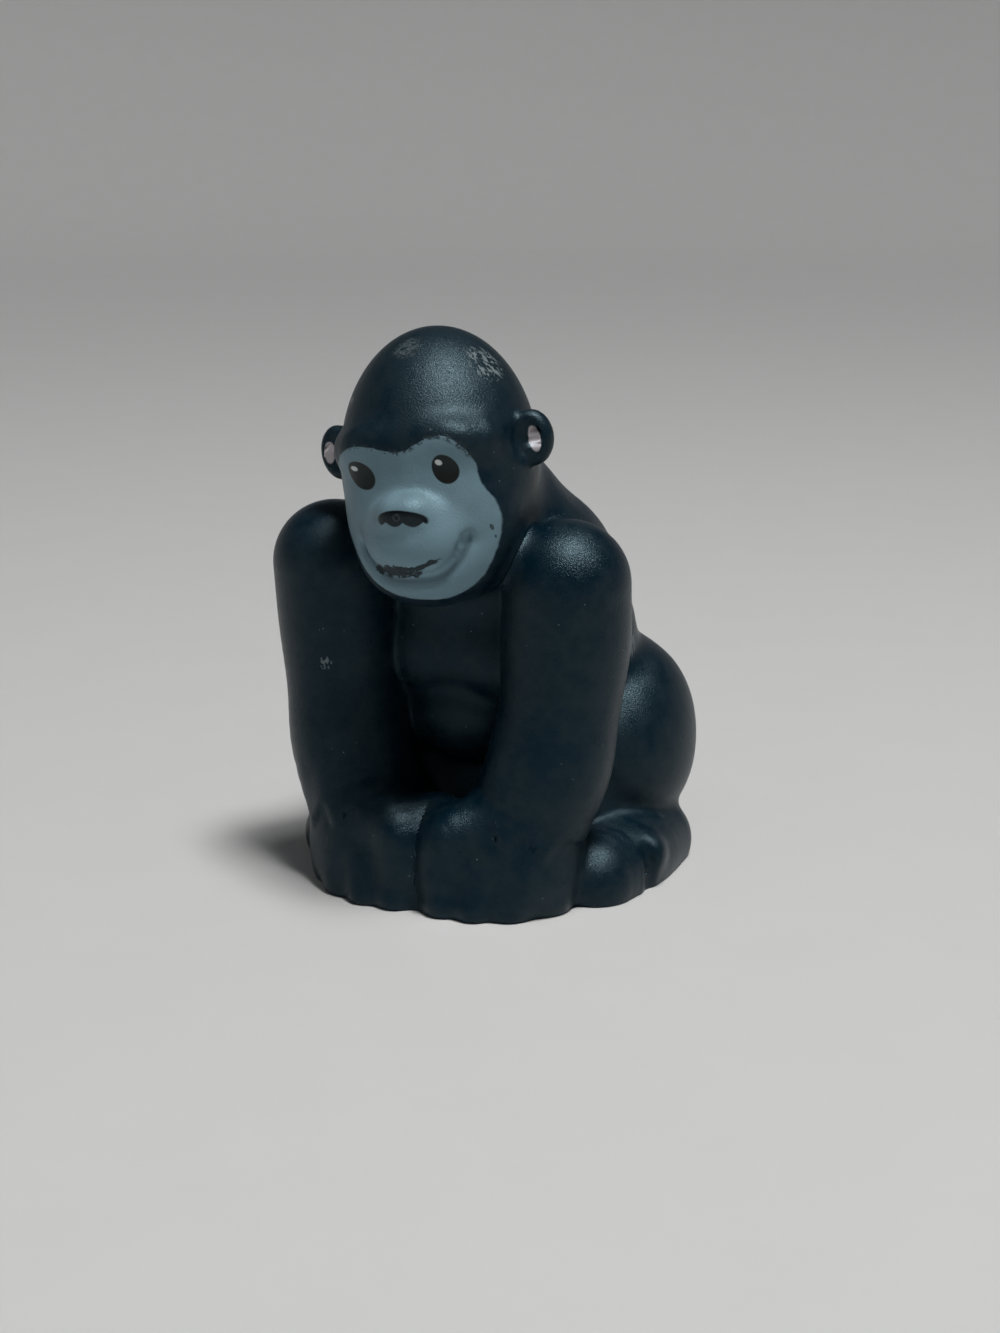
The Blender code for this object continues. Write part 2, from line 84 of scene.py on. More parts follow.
import bmesh
import bpy
import numpy as np
from bpy.props import FloatProperty, FloatVectorProperty, PointerProperty
from bpy.types import Operator, Panel, PropertyGroup
from mathutils import Euler, Matrix, Vector

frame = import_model()
CAD_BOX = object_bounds()
NODE = "gorilla_figurine"

# Trunk: full sizes, with centres measured forward of and above the middle of the base
CHEST_WIDTH = 0.0300
CHEST_DEPTH = 0.0210
CHEST_HEIGHT = 0.0300
CHEST_FORWARD = 0.0070
CHEST_LEVEL = 0.0460
PEC_WIDTH = 0.0150
PEC_DEPTH = 0.0126
PEC_HEIGHT = 0.0150
PEC_FORWARD = 0.0120
PEC_LEVEL = 0.0366
PEC_SPREAD = 0.0058
BELLY_WIDTH = 0.0230
BELLY_DEPTH = 0.0205
BELLY_HEIGHT = 0.0188
BELLY_FORWARD = 0.0068
BELLY_LEVEL = 0.0270
YOKE_WIDTH = 0.0415
YOKE_DEPTH = 0.0270
YOKE_HEIGHT = 0.0290
YOKE_FORWARD = 0.0030
YOKE_LEVEL = 0.0490
BACK_WIDTH = 0.0445
BACK_DEPTH = 0.0300
BACK_HEIGHT = 0.0400
BACK_BEHIND = 0.0035
BACK_LEVEL = 0.0370
BACK_LEAN = math.radians(20)
RUMP_WIDTH = 0.0440
RUMP_DEPTH = 0.0340
RUMP_HEIGHT = 0.0360
RUMP_BEHIND = 0.0140
RUMP_LEVEL = 0.0180
LAP_WIDTH = 0.0460
LAP_DEPTH = 0.0250
LAP_HEIGHT = 0.0240
LAP_FORWARD = 0.0015
LAP_LEVEL = 0.0090
BASE_WIDTH = 0.0500
BASE_DEPTH = 0.0480
BASE_HEIGHT = 0.0150

NECK_WIDTH = 0.0300
NECK_DEPTH = 0.0270
NECK_HEIGHT = 0.0260
NECK_FORWARD = 0.0095
NECK_LEVEL = 0.0570

# Arms: how far the column of the arm stands from the middle, and its thickness down it
SHOULDER_SPREAD = 0.0191
SHOULDER_FORWARD = 0.0174
SHOULDER_LEVEL = 0.0500
SHOULDER_THICKNESS = 0.0190
BICEP_SPREAD = 0.0187
BICEP_FORWARD = 0.0166
BICEP_LEVEL = 0.0410
BICEP_THICKNESS = 0.0194
ELBOW_SPREAD = 0.0180
ELBOW_FORWARD = 0.0170
ELBOW_LEVEL = 0.0310
ELBOW_THICKNESS = 0.0182
FOREARM_SPREAD = 0.0164
FOREARM_FORWARD = 0.0180
FOREARM_LEVEL = 0.0210
FOREARM_THICKNESS = 0.0190
WRIST_SPREAD = 0.0128
WRIST_FORWARD = 0.0193
WRIST_LEVEL = 0.0120
WRIST_THICKNESS = 0.0172

# Hands: the knuckles stand on the ground and the backs of the hands face forward
PALM_WIDTH = 0.0222
PALM_DEPTH = 0.0210
PALM_HEIGHT = 0.0230
PALM_SPREAD = 0.0112
PALM_FORWARD = 0.0196
PALM_LEVEL = 0.0060
FINGER_THICKNESS = 0.0062
FINGER_HEIGHT = 0.0060
FINGER_SPREADS = (0.0040, 0.0090, 0.0138, 0.0182)
FINGER_FORWARDS = (0.0290, 0.0288, 0.0268, 0.0216)
THUMB_ROOT_SPREAD = 0.0102
THUMB_ROOT_FORWARD = 0.0230
THUMB_ROOT_LEVEL = 0.0124
THUMB_ROOT_THICKNESS = 0.0094
THUMB_JOINT_SPREAD = 0.0044
THUMB_JOINT_FORWARD = 0.0270
THUMB_JOINT_LEVEL = 0.0114
THUMB_JOINT_THICKNESS = 0.0084
THUMB_TIP_SPREAD = 0.0030
THUMB_TIP_FORWARD = 0.0284
THUMB_TIP_LEVEL = 0.0066
THUMB_TIP_THICKNESS = 0.0058
CUFF_RELIEF = 0.0005
CUFF_EDGE = 0.0026
CUFF_FADE = 0.0090
CUFF_INNER_LEVEL = 0.0146
CUFF_OUTER_LEVEL = 0.0095
CUFF_INNER_SPREAD = 0.0084
CUFF_OUTER_SPREAD = 0.0260
TUFT_SPACING = 0.0052
TUFT_LENGTH = 0.0030
FIRST_TUFT_SPREAD = 0.0088
JOIN_WIDTH = 0.0200
JOIN_DEPTH = 0.0150
JOIN_HEIGHT = 0.0300
JOIN_FORWARD = 0.0225
JOIN_LEVEL = 0.0015

# Legs: the folded thigh lies beside the rump, the foot flat below it
THIGH_WIDTH = 0.0210
THIGH_DEPTH = 0.0270
THIGH_HEIGHT = 0.0290
THIGH_SPREAD = 0.0202
THIGH_BEHIND = 0.0085
THIGH_LEVEL = 0.0180
HIP_WIDTH = 0.0188
HIP_DEPTH = 0.0220
HIP_HEIGHT = 0.0210
HIP_SPREAD = 0.0165
HIP_BEHIND = 0.0120
HIP_LEVEL = 0.0240
HEEL_SPREAD = 0.0242
INSTEP_SPREAD = 0.0236
TOES_SPREAD = 0.0223
HEEL_BEHIND = 0.0068
HEEL_THICKNESS = 0.0144
INSTEP_FORWARD = 0.0030
INSTEP_THICKNESS = 0.0152
TOES_FORWARD = 0.0126
TOES_THICKNESS = 0.0134
FOOT_LEVEL = 0.0026
TOE_GROOVE_THICKNESS = 0.0016
ANKLE_SIZE = 0.0042
RIGHT_FOOT_BEHIND = 0.0030

# Head: sizes in the head's own frame, whose middle is between the ears
HEAD_FORWARD = 0.0200
HEAD_LEVEL = 0.0660
HEAD_TURN = math.radians(3)
HEAD_ROLL = math.radians(-7.5)
SKULL_WIDTH = 0.0292
SKULL_DEPTH = 0.0294
SKULL_HEIGHT = 0.0395
SKULL_RAISE = 0.0012
SKULL_BEHIND = 0.0005
SKULL_LEAN = math.radians(-14)
JAW_WIDTH = 0.0244
JAW_DEPTH = 0.0168
JAW_HEIGHT = 0.0216
JAW_FORWARD = 0.0055
JAW_DROP = 0.0076
MUZZLE_WIDTH = 0.0172
MUZZLE_DEPTH = 0.0158
MUZZLE_HEIGHT = 0.0143
MUZZLE_FORWARD = 0.0097
MUZZLE_DROP = 0.0077
NOSE_WIDTH = 0.0030
NOSE_DEPTH = 0.0046
NOSE_HEIGHT = 0.0040
NOSE_FORWARD = 0.0158
NOSE_DROP = 0.0035
NOSE_SWEEP = 0.0022
BROW_THICKNESS = 0.0046
BROW_SPREAD = 0.0062
BROW_FORWARD = 0.0115
BROW_RAISE = 0.0058
BROW_DIP = 0.0008
BROW_SWEEP = 0.0034
SOCKET_WIDTH = 0.0110
SOCKET_HEIGHT = 0.0090
SOCKET_DEPTH = 0.0012
EYE_SPREAD = 0.0066
EYE_RAISE = 0.0016
MOUTH_WIDTH = 0.0164
MOUTH_THICKNESS = 0.0021
MOUTH_CORNER_DROP = 0.0085
MOUTH_MIDDLE_DROP = 0.0137
CHIN_WIDTH = 0.0190
CHIN_DEPTH = 0.0130
CHIN_HEIGHT = 0.0122
CHIN_FORWARD = 0.0078
CHIN_DROP = 0.0119
EAR_WIDTH = 0.0062
EAR_HEIGHT = 0.0081
EAR_FORWARD = 0.0010
EAR_TURN = math.radians(18)
EAR_THICKNESS = 0.0044
EAR_RIM = 0.0012
EAR_SPREAD = 0.0153
EAR_RAISE = 0.0038
EAR_HOLLOW = 0.0030

# Skin: how softly one mass runs into the next
BACK_BLEND = 0.0090
SOFT_BLEND = 0.0060
FIRM_BLEND = 0.0030
CREASE_BLEND = 0.0013


class Ball:
    """A rounded mass: an ellipsoid of three full sizes, turned about its centre."""

    def __init__(self, centre, size, turn=(0.0, 0.0, 0.0), reach=SOFT_BLEND, carve=False):
        self.centre = np.array(centre, float)
        self.radii = np.array(size, float) / 2
        self.turn = np.array(Euler(turn).to_matrix())
        self.reach = reach
        self.carve = carve

    def distance(self, points):
        local = (points - self.centre) @ self.turn
        near = np.linalg.norm(local / self.radii, axis=1)
        slope = np.linalg.norm(local / self.radii**2, axis=1)
        return near * (near - 1) / np.maximum(slope, 1e-6)

    def places(self):
        """The unit spheres that stand for this mass, as matrices."""
        turn = Matrix(self.turn.tolist()).to_4x4()
        return [Matrix.Translation(self.centre) @ turn @ Matrix.Diagonal((*self.radii, 1))]


class Limb:
    """A round limb through joints of given thickness, running smoothly from each to the next."""

    def __init__(self, joints, reach=FIRM_BLEND, carve=False):
        self.beads = smooth_run(joints)
        self.reach = reach
        self.carve = carve

    def distance(self, points):
        nearest = np.full(len(points), np.inf)
        for start, end in zip(self.beads[:-1], self.beads[1:]):
            along = end[:3] - start[:3]
            share = np.clip((points - start[:3]) @ along / (along @ along), 0, 1)
            radius = (start[3] + share * (end[3] - start[3])) / 2
            away = np.linalg.norm(points - start[:3] - share[:, None] * along, axis=1)
            nearest = np.minimum(nearest, away - radius)
        return nearest

    def places(self):
        return [
            Matrix.Translation(bead[:3]) @ Matrix.Scale(bead[3] / 2, 4) for bead in self.beads
        ]


def smooth_run(joints, steps=5):
    """Points and thicknesses along a smooth curve through the joints."""
    joints = np.array([(*spot, thickness) for spot, thickness in joints])
    if len(joints) == 2:
        return joints[0] + np.linspace(0, 1, steps)[:, None] * (joints[1] - joints[0])
    padded = np.vstack([2 * joints[0] - joints[1], joints, 2 * joints[-1] - joints[-2]])
    beads = []
    for before, start, end, after in zip(padded, padded[1:], padded[2:], padded[3:]):
        for share in np.arange(steps) / steps:
            beads.append(
                start
                + share * (end - before) / 2
                + share**2 * (before - 2.5 * start + 2 * end - after / 2)
                + share**3 * (1.5 * start - 1.5 * end + (after - before) / 2)
            )
    return np.array([*beads, joints[-1]])


def blend(first, second, reach):
    """Smooth union of two distances: the seam is filled over about `reach`."""
    share = np.clip(0.5 + 0.5 * (second - first) / reach, 0, 1)
    return second + (first - second) * share - reach * share * (1 - share)


def combined(masses, points):
    """Distance to the blend of several masses, in order; a carving mass is cut away."""
    result = masses[0].distance(points)
    for mass in masses[1:]:
        reach = mass.reach(points) if callable(mass.reach) else mass.reach
        if mass.carve:
            result = -blend(-result, mass.distance(points), reach)
        else:
            result = blend(mass.distance(points), result, reach)
    return result


def front_of(masses, across, level, deepest=0.0, nearest=-0.050, steps=400):
    """Where the blend of the masses first meets a line that runs back from the front."""
    line = np.linspace(nearest, deepest, steps)
    points = np.column_stack([np.full(steps, across), line, np.full(steps, level)])
    inside = combined(masses, points) < 0
    return line[np.argmax(inside)] if inside.any() else deepest


def creased_in_front(points):
    """The blend of arm and chest: a firm crease in front that grows soft over the back."""
    start = -SHOULDER_FORWARD
    share = np.clip((points[:, 1] - start) / (SHOULDER_THICKNESS * 0.7), 0, 1)
    return CREASE_BLEND + (BACK_BLEND - CREASE_BLEND) * share * share * (3 - 2 * share)


def trunk():
    return [
        Ball(
            (0, -CHEST_FORWARD, CHEST_LEVEL),
            (CHEST_WIDTH, CHEST_DEPTH, CHEST_HEIGHT),
        ),
        Ball(
            (0, -YOKE_FORWARD, YOKE_LEVEL),
            (YOKE_WIDTH, YOKE_DEPTH, YOKE_HEIGHT),
        ),
        Ball(
            (0, -NECK_FORWARD, NECK_LEVEL),
            (NECK_WIDTH, NECK_DEPTH, NECK_HEIGHT),
            reach=FIRM_BLEND,
        ),
        Ball(
            (0, BACK_BEHIND, BACK_LEVEL),
            (BACK_WIDTH, BACK_DEPTH, BACK_HEIGHT),
            (BACK_LEAN, 0, 0),
        ),
        Ball(
            (0, RUMP_BEHIND, RUMP_LEVEL),
            (RUMP_WIDTH, RUMP_DEPTH, RUMP_HEIGHT),
        ),
        Ball(
            (PEC_SPREAD, -PEC_FORWARD, PEC_LEVEL),
            (PEC_WIDTH, PEC_DEPTH, PEC_HEIGHT),
            reach=FIRM_BLEND,
        ),
        Ball(
            (-PEC_SPREAD, -PEC_FORWARD, PEC_LEVEL),
            (PEC_WIDTH, PEC_DEPTH, PEC_HEIGHT),
            reach=SOFT_BLEND,
        ),
        Ball(
            (0, -BELLY_FORWARD, BELLY_LEVEL),
            (BELLY_WIDTH, BELLY_DEPTH, BELLY_HEIGHT),
            reach=CREASE_BLEND * 1.5,
        ),
        Ball((0, -LAP_FORWARD, LAP_LEVEL), (LAP_WIDTH, LAP_DEPTH, LAP_HEIGHT), reach=FIRM_BLEND),
        Ball((0, 0, 0), (BASE_WIDTH, BASE_DEPTH, BASE_HEIGHT), reach=FIRM_BLEND),
    ]


def leg():
    """The left thigh, folded beside the rump."""
    return [
        Ball(
            (THIGH_SPREAD, THIGH_BEHIND, THIGH_LEVEL),
            (THIGH_WIDTH, THIGH_DEPTH, THIGH_HEIGHT),
            reach=FIRM_BLEND,
        ),
        Ball(
            (HIP_SPREAD, HIP_BEHIND, HIP_LEVEL),
            (HIP_WIDTH, HIP_DEPTH, HIP_HEIGHT),
        ),
    ]


def foot(side, behind):
    """A flat foot with a groove before its toes; side is 1 at the left and -1 at the right."""
    heel = (side * HEEL_SPREAD, HEEL_BEHIND + behind, FOOT_LEVEL)
    instep = (side * INSTEP_SPREAD, -INSTEP_FORWARD + behind, FOOT_LEVEL)
    toes = (side * TOES_SPREAD, -TOES_FORWARD + behind, FOOT_LEVEL)
    rim = INSTEP_SPREAD + INSTEP_THICKNESS / 2
    groove_behind = behind - INSTEP_FORWARD * 0.4 - TOES_FORWARD * 0.6
    groove = [
        (side * (rim - TOE_GROOVE_THICKNESS), groove_behind, FOOT_LEVEL + INSTEP_THICKNESS * 0.4),
        (side * (rim - TOE_GROOVE_THICKNESS / 2), groove_behind, 0),
    ]
    ankle = (
        side * (rim - ANKLE_SIZE * 0.5),
        behind - INSTEP_FORWARD * 2,
        FOOT_LEVEL + ANKLE_SIZE * 0.7,
    )
    joints = [(heel, HEEL_THICKNESS), (instep, INSTEP_THICKNESS), (toes, TOES_THICKNESS)]
    return [
        Limb(joints),
        Ball(ankle, (ANKLE_SIZE, ANKLE_SIZE, ANKLE_SIZE), reach=FIRM_BLEND),
        Limb([(spot, TOE_GROOVE_THICKNESS) for spot in groove], reach=CREASE_BLEND, carve=True),
    ]


def arm():
    """The left arm, one smooth column from the shoulder to the wrist."""
    joints = [
        ((SHOULDER_SPREAD, -SHOULDER_FORWARD, SHOULDER_LEVEL), SHOULDER_THICKNESS),
        ((BICEP_SPREAD, -BICEP_FORWARD, BICEP_LEVEL), BICEP_THICKNESS),
        ((ELBOW_SPREAD, -ELBOW_FORWARD, ELBOW_LEVEL), ELBOW_THICKNESS),
        ((FOREARM_SPREAD, -FOREARM_FORWARD, FOREARM_LEVEL), FOREARM_THICKNESS),
        ((WRIST_SPREAD, -WRIST_FORWARD, WRIST_LEVEL), WRIST_THICKNESS),
    ]
    return [Limb(joints, reach=creased_in_front)]


def hand():
    """The left hand, its knuckles on the ground and its thumb inside."""
    masses = [
        Ball(
            (PALM_SPREAD, -PALM_FORWARD, PALM_LEVEL),
            (PALM_WIDTH, PALM_DEPTH, PALM_HEIGHT),
            reach=FIRM_BLEND,
        ),
        Ball(
            (0, -JOIN_FORWARD, JOIN_LEVEL),
            (JOIN_WIDTH, JOIN_DEPTH, JOIN_HEIGHT),
            reach=CREASE_BLEND,
        ),
    ]
    for spread, forward in zip(FINGER_SPREADS, FINGER_FORWARDS):
        knuckle = (spread, -forward + FINGER_THICKNESS / 4, FINGER_HEIGHT)
        ground = (spread, -forward, FINGER_THICKNESS / 4)
        finger = [(knuckle, FINGER_THICKNESS), (ground, FINGER_THICKNESS)]
        masses.append(Limb(finger, reach=CREASE_BLEND * 1.5))
    thumb = [
        ((THUMB_ROOT_SPREAD, -THUMB_ROOT_FORWARD, THUMB_ROOT_LEVEL), THUMB_ROOT_THICKNESS),
        ((THUMB_JOINT_SPREAD, -THUMB_JOINT_FORWARD, THUMB_JOINT_LEVEL), THUMB_JOINT_THICKNESS),
        ((THUMB_TIP_SPREAD, -THUMB_TIP_FORWARD, THUMB_TIP_LEVEL), THUMB_TIP_THICKNESS),
    ]
    masses.append(Limb(thumb, reach=FIRM_BLEND))
    return masses


def cuff(points):
    """How far the forearm's fur stands proud of the hand: a cuff that ends in tufts."""
    across = np.abs(points[:, 0])
    share = (across - CUFF_INNER_SPREAD) / (CUFF_OUTER_SPREAD - CUFF_INNER_SPREAD)
    level = CUFF_INNER_LEVEL + share * (CUFF_OUTER_LEVEL - CUFF_INNER_LEVEL)
    swing = np.cos(2 * math.pi * (across - FIRST_TUFT_SPREAD) / TUFT_SPACING)
    above = points[:, 2] - level + TUFT_LENGTH / 2 * swing
    edge = np.clip(0.5 + above / CUFF_EDGE, 0, 1)
    fade = np.clip(1 - above / CUFF_FADE, 0, 1)
    inward = np.clip((across - CUFF_INNER_SPREAD) / CUFF_EDGE / 2, 0, 1)
    in_front = np.clip((-points[:, 1] - WRIST_FORWARD + WRIST_THICKNESS / 4) / CUFF_EDGE, 0, 1)
    return CUFF_RELIEF * edge * edge * (3 - 2 * edge) * fade * inward * in_front


def head():
    """The head in its own frame."""
    brow = [
        ((0, -BROW_FORWARD + BROW_DIP / 2, BROW_RAISE - BROW_DIP), BROW_THICKNESS),
        ((BROW_SPREAD, -BROW_FORWARD, BROW_RAISE), BROW_THICKNESS),
        ((BROW_SPREAD * 1.6, -BROW_FORWARD + BROW_SWEEP, BROW_RAISE - BROW_DIP), BROW_THICKNESS),
    ]
    nose = [
        ((0, -NOSE_FORWARD, -NOSE_DROP), NOSE_DEPTH),
        ((NOSE_WIDTH / 2, -NOSE_FORWARD + NOSE_SWEEP / 6, -NOSE_DROP), NOSE_DEPTH),
        ((NOSE_WIDTH, -NOSE_FORWARD + NOSE_SWEEP, -NOSE_DROP - NOSE_SWEEP / 3), NOSE_HEIGHT),
    ]
    face = [
        Ball(
            (0, SKULL_BEHIND, SKULL_RAISE),
            (SKULL_WIDTH, SKULL_DEPTH, SKULL_HEIGHT),
            (SKULL_LEAN, 0, 0),
        ),
        Limb(brow, reach=FIRM_BLEND),
        Ball(
            (EYE_SPREAD, -SKULL_DEPTH / 2, EYE_RAISE),
            (SOCKET_WIDTH, SOCKET_DEPTH, SOCKET_HEIGHT),
            reach=FIRM_BLEND,
            carve=True,
        ),
        Ball(
            (0, -JAW_FORWARD, -JAW_DROP),
            (JAW_WIDTH, JAW_DEPTH, JAW_HEIGHT),
            reach=FIRM_BLEND,
        ),
        Ball(
            (0, -CHIN_FORWARD, -CHIN_DROP),
            (CHIN_WIDTH, CHIN_DEPTH, CHIN_HEIGHT),
            reach=FIRM_BLEND,
        ),
        Ball(
            (0, -MUZZLE_FORWARD, -MUZZLE_DROP),
            (MUZZLE_WIDTH, MUZZLE_DEPTH, MUZZLE_HEIGHT),
            reach=CREASE_BLEND,
        ),
        Limb(nose, reach=CREASE_BLEND * 1.5),
    ]
    mouth = []
    for share in (1.0, 0.94, 0.8, 0.55, 0.28, 0.0):
        drop = MOUTH_MIDDLE_DROP - (MOUTH_MIDDLE_DROP - MOUTH_CORNER_DROP) * share**3.2
        across = MOUTH_WIDTH / 2 * share
        mouth.append(((across, front_of(face, across, -drop), -drop), MOUTH_THICKNESS))
    return face + [
        Limb(mouth, reach=CREASE_BLEND, carve=True),
        Ball(
            (EAR_SPREAD, -EAR_FORWARD, EAR_RAISE),
            (EAR_WIDTH, EAR_THICKNESS, EAR_HEIGHT),
            (0, 0, EAR_TURN),
            reach=CREASE_BLEND,
        ),
        Ball(
            (EAR_SPREAD, -EAR_FORWARD - EAR_THICKNESS / 2, EAR_RAISE),
            (EAR_WIDTH - EAR_RIM * 2, EAR_HOLLOW, EAR_HEIGHT - EAR_RIM * 2),
            (0, 0, EAR_TURN),
            reach=CREASE_BLEND,
            carve=True,
        ),
    ]


def head_frame():
    turn = Euler((0, HEAD_ROLL, HEAD_TURN)).to_matrix().to_4x4()
    return Matrix.Translation((0, -HEAD_FORWARD, HEAD_LEVEL)) @ turn


def figure():
    """The body's masses, which are mirrored, the two feet, and the head's in its own frame."""
    feet = [foot(1, 0), foot(-1, RIGHT_FOOT_BEHIND)]
    return trunk() + leg() + arm() + hand(), feet, head()


def mirrored(points):
    """Both sides of a symmetrical form, read on its left side."""
    return np.column_stack([np.abs(points[:, 0]), points[:, 1:]])


def skin_distance(points, body, feet, skull):
    into_head = np.array(head_frame().inverted())
    head_points = points @ into_head[:3, :3].T + into_head[:3, 3]
    of_head = combined(skull, mirrored(head_points))
    of_body = combined(body, mirrored(points)) - cuff(points)
    for one_foot in feet:
        of_body = blend(combined(one_foot, points), of_body, CREASE_BLEND * 1.5)
    return blend(of_head, of_body, FIRM_BLEND)


def settled(points, rounds=5, step=0.00004, most=0.0012):
    """The points moved onto the blended surface, along its own slope."""
    masses = figure()
    for _ in range(rounds):
        here = skin_distance(points, *masses)
        slope = np.empty_like(points)
        for axis in range(3):
            aside = points.copy()
            aside[:, axis] += step
            slope[:, axis] = (skin_distance(aside, *masses) - here) / step
        length = np.maximum((slope**2).sum(1), 0.3)
        points = points - np.clip(here / length, -most, most)[:, None] * slope
    return points


def clay():
    """One mesh of spheres that stand for all the masses, on both sides."""
    mesh = bmesh.new()
    body, feet, skull = figure()
    still = Matrix.Identity(4)
    across = Matrix.Diagonal((-1, 1, 1, 1))
    groups = [(still, body, True), (head_frame(), skull, True)]
    groups += [(still, one_foot, False) for one_foot in feet]
    for frame, masses, both_sides in groups:
        for place in [place for mass in masses if not mass.carve for place in mass.places()]:
            twice = both_sides and abs(place.translation.x) > 0.0001
            for side in [place, across @ place @ across] if twice else [place]:
                bmesh.ops.create_icosphere(mesh, subdivisions=3, radius=1, matrix=frame @ side)
    return mesh


def evaluated_mesh(obj):
    """A plain mesh of the object as its modifiers leave it."""
    bpy.context.view_layer.update()
    graph = bpy.context.evaluated_depsgraph_get()
    return bpy.data.meshes.new_from_object(obj.evaluated_get(graph))


def fused_skin(grain):
    """The masses fused into one fine skin that lies on their blend, cut flat at the ground."""
    spheres = clay()
    lump = bpy.data.meshes.new("clay")
    spheres.to_mesh(lump)
    spheres.free()
    obj = bpy.data.objects.new("clay", lump)
    bpy.context.scene.collection.objects.link(obj)
    fuse = obj.modifiers.new("fuse", "REMESH")
    fuse.mode = "VOXEL"
    fuse.voxel_size = grain
    skin = evaluated_mesh(obj)
    bpy.data.objects.remove(obj)
    points = np.empty(len(skin.vertices) * 3, np.float32)
    skin.vertices.foreach_get("co", points)
    points = settled(points.reshape(-1, 3).astype(float))
    skin.vertices.foreach_set("co", points.astype(np.float32).ravel())
    work = bmesh.new()
    work.from_mesh(skin)
    everything = work.verts[:] + work.edges[:] + work.faces[:]
    bmesh.ops.bisect_plane(
        work, geom=everything, dist=1e-7, plane_co=(0, 0, 0), plane_no=(0, 0, -1), clear_outer=True
    )
    rim = [edge for edge in work.edges if edge.is_boundary]
    bmesh.ops.triangle_fill(work, edges=rim, use_beauty=True, use_dissolve=False, normal=(0, 0, -1))
    bmesh.ops.recalc_face_normals(work, faces=work.faces[:])
    work.to_mesh(skin)
    work.free()
    return skin


def skin_shift(skin):
    """How far the skin moves so that the middle of its footprint is the CAD's origin."""
    points = np.empty(len(skin.vertices) * 3, np.float32)
    skin.vertices.foreach_get("co", points)
    points = points.reshape(-1, 3)
    middle = (points.min(0) + points.max(0)) / 2
    cad_middle = (CAD_BOX[0] + CAD_BOX[1]) / 2
    return Vector((cad_middle.x - middle[0], cad_middle.y - middle[1], 0))


class Number:
    """A socket that carries a number, and combines with others as Python's numbers do."""

    def __init__(self, graph, socket):
        self.graph = graph
        self.socket = socket

    def __add__(self, other):
        return self.graph.maths("ADD", self, other)

    def __radd__(self, other):
        return self.graph.maths("ADD", other, self)

    def __sub__(self, other):
        return self.graph.maths("SUBTRACT", self, other)

    def __rsub__(self, other):
        return self.graph.maths("SUBTRACT", other, self)

    def __mul__(self, other):
        return self.graph.maths("MULTIPLY", self, other)

    def __rmul__(self, other):
        return self.graph.maths("MULTIPLY", other, self)

    def __truediv__(self, other):
        return self.graph.maths("DIVIDE", self, other)

    def __rtruediv__(self, other):
        return self.graph.maths("DIVIDE", other, self)

    def __pow__(self, other):
        return self.graph.maths("POWER", self, other)


class Graph:
    """Adds nodes to a node tree."""

    def __init__(self, tree):
        self.tree = tree

    def node(self, kind, settings=None, inputs=None, output=0):
        """One node: its settings first, then its sockets, and the output asked for."""
        made = self.tree.nodes.new(kind)
        for name, value in (settings or {}).items():
            if name == "stops":
                self.set_stops(made.color_ramp, value)
            elif name == "curve":
                self.set_curve(made.mapping, value)
            else:
                setattr(made, name, value)
        for name, value in (inputs or {}).items():
            socket = self.find(made.inputs, name)
            if isinstance(value, Number):
                self.tree.links.new(value.socket, socket)
            else:
                socket.default_value = value
        if not made.outputs:
            return made
        return Number(self, self.find(made.outputs, output))

    def find(self, sockets, name):
        if isinstance(name, int):
            return sockets[name]
        for socket in sockets:
            if socket.identifier == name:
                return socket
        return sockets[name]

    def set_stops(self, ramp, stops):
        while len(ramp.elements) > 1:
            ramp.elements.remove(ramp.elements[-1])
        for index, (place, value) in enumerate(stops):
            element = ramp.elements[0] if index == 0 else ramp.elements.new(place)
            element.position = place
            element.color = (value, value, value, 1)

    def set_curve(self, mapping, points):
        curve = mapping.curves[0]
        while len(curve.points) > 2:
            curve.points.remove(curve.points[1])
        for index, (place, value) in enumerate(points):
            if index < 2:
                curve.points[index].location = (place, value)
            else:
                curve.points.new(place, value)
        mapping.update()

    def maths(self, operation, *values):
        sockets = dict(enumerate(values))
        return self.node("ShaderNodeMath", {"operation": operation}, sockets)

    def step(self, value, start, end):
        """0 before start, 1 past end, smooth between; start may be the larger."""
        settings = {"interpolation_type": "SMOOTHSTEP"}
        if start < end:
            inputs = {"Value": value, "From Min": start, "From Max": end}
            return self.node("ShaderNodeMapRange", settings, inputs)
        inputs = {"Value": value, "From Min": end, "From Max": start}
        return 1 - self.node("ShaderNodeMapRange", settings, inputs)

    def mix(self, factor, first, second):
        """A colour between two colours."""
        inputs = {"Factor_Float": factor, "A_Color": first, "B_Color": second}
        return self.node("ShaderNodeMix", {"data_type": "RGBA"}, inputs, "Result_Color")

    def noise(self, place, scale, detail=2.0, rough=0.5, stretch=None):
        if stretch is not None:
            place = self.node("ShaderNodeMapping", None, {"Vector": place, "Scale": stretch})
        inputs = {"Vector": place, "Scale": scale, "Detail": detail, "Roughness": rough}
        return self.node("ShaderNodeTexNoise", None, inputs, "Fac")


MM = 1000.0

# Face paint, measured in millimetres in the head's frame: x to its left, z up.
MASK_MIDDLE = -4.5
MASK_REACH = 20.0
MASK_OUTLINE = (
    (-180, 12.25), (-150, 11.9), (-124, 11.6), (-94, 11.9), (-68, 13.0), (-54, 13.9),
    (-42, 13.4), (-24, 11.15), (-12, 9.75), (0, 9.3), (12, 10.3), (24, 12.0), (36, 12.95),
    (54, 12.15), (69, 11.0), (90, 11.85), (122, 12.6), (142, 13.1), (180, 12.25),
)
EYES = (((-6.94, 1.76), (2.58, 1.84), 147), ((6.12, 1.82), (2.18, 1.73), 114))
GLINTS = (((-8.05, 2.75), (0.62, 0.36), 169), ((5.35, 2.85), (0.50, 0.38), 152))
EAR_INNERS = (((-16.40, 4.0), (1.65, 0.86), 84), ((15.95, 3.75), (1.85, 0.92), 97))
